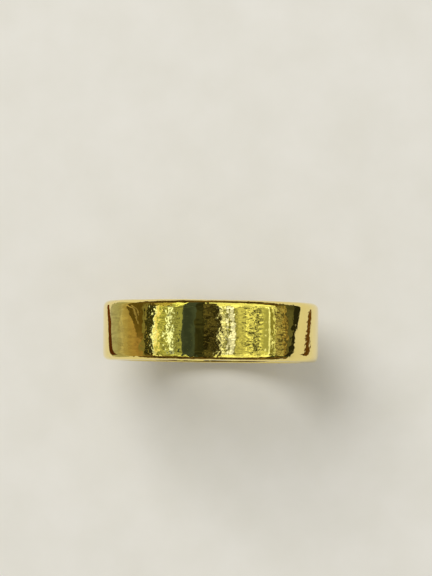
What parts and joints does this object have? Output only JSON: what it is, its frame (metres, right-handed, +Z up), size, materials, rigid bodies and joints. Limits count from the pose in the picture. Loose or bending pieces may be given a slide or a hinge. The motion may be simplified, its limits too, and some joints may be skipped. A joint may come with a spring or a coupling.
{
  "type": "wedding band",
  "caption": "Plain flat-section gold finger ring with softened edges, a flat strip bent round and closed by a soldered seam.",
  "frame": {"origin": "centre of the finger hole, halfway across the band's width", "axes": "+Y along the finger hole, +Z up with the ring standing on its edge, and the solder seam at its lowest point"},
  "size_m": [0.0218, 0.006, 0.0218],
  "materials": {
    "gold": "polished",
    "solder": "polished"
  },
  "bodies": {
    "root": {"band": "gold", "solder_seam": "solder"}
  },
  "joints": []
}
